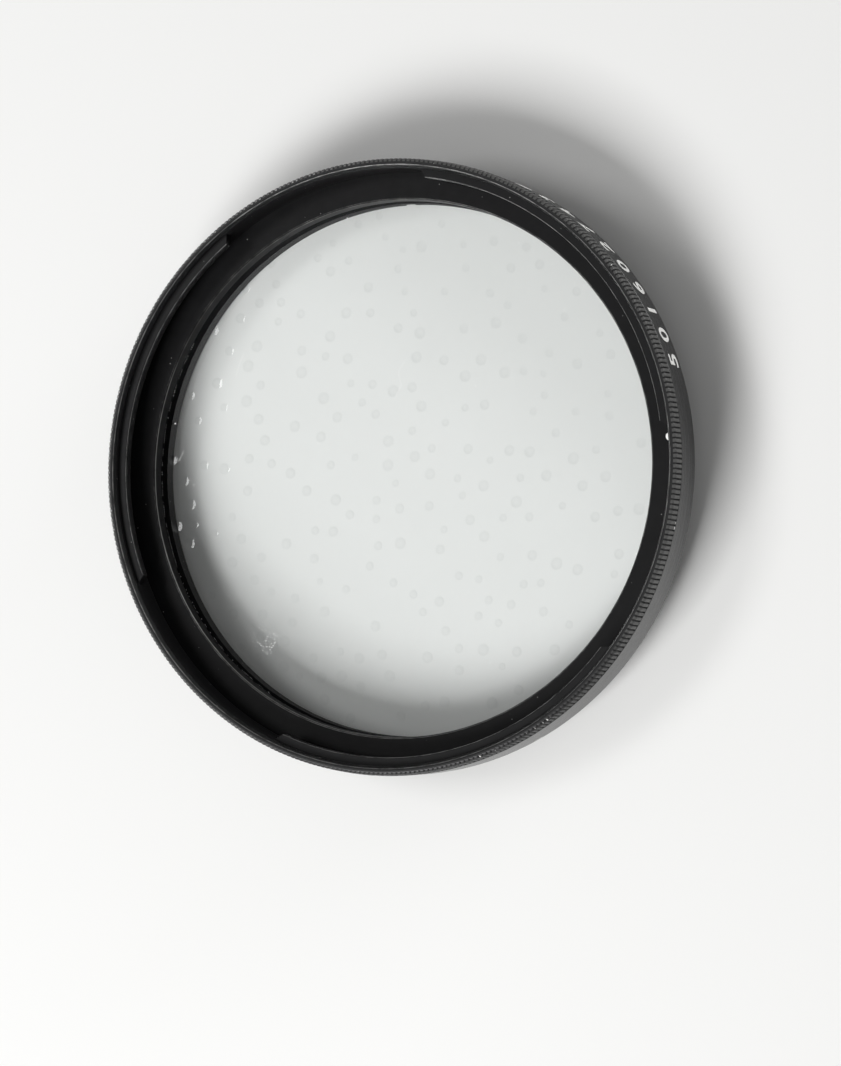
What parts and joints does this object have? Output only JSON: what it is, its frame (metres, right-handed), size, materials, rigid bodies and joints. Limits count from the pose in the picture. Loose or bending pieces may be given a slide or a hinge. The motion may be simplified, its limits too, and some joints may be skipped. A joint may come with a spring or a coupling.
{
  "type": "bayonet lens filter",
  "caption": "Round soft-focus lens filter: a black knurled rim with a bayonet socket in front and a bayonet spigot behind, around a clear disc.",
  "frame": {"origin": "centre of the end of the rear spigot, which the filter rests on when it lies front side up", "axes": "+Z along the optical axis towards the front of the filter; +Y is the direction of the spanner slots, and the index dot is close to +X"},
  "size_m": [0.0644, 0.0644, 0.0093],
  "materials": {
    "rim_black": "satin",
    "clear_disc": "polished",
    "ring_black": "matte",
    "white_enamel": "satin"
  },
  "bodies": {
    "root": {"filter_rim": "rim_black", "optical_disc": "clear_disc", "retaining_ring": "ring_black", "index_dot": "white_enamel"}
  },
  "joints": []
}
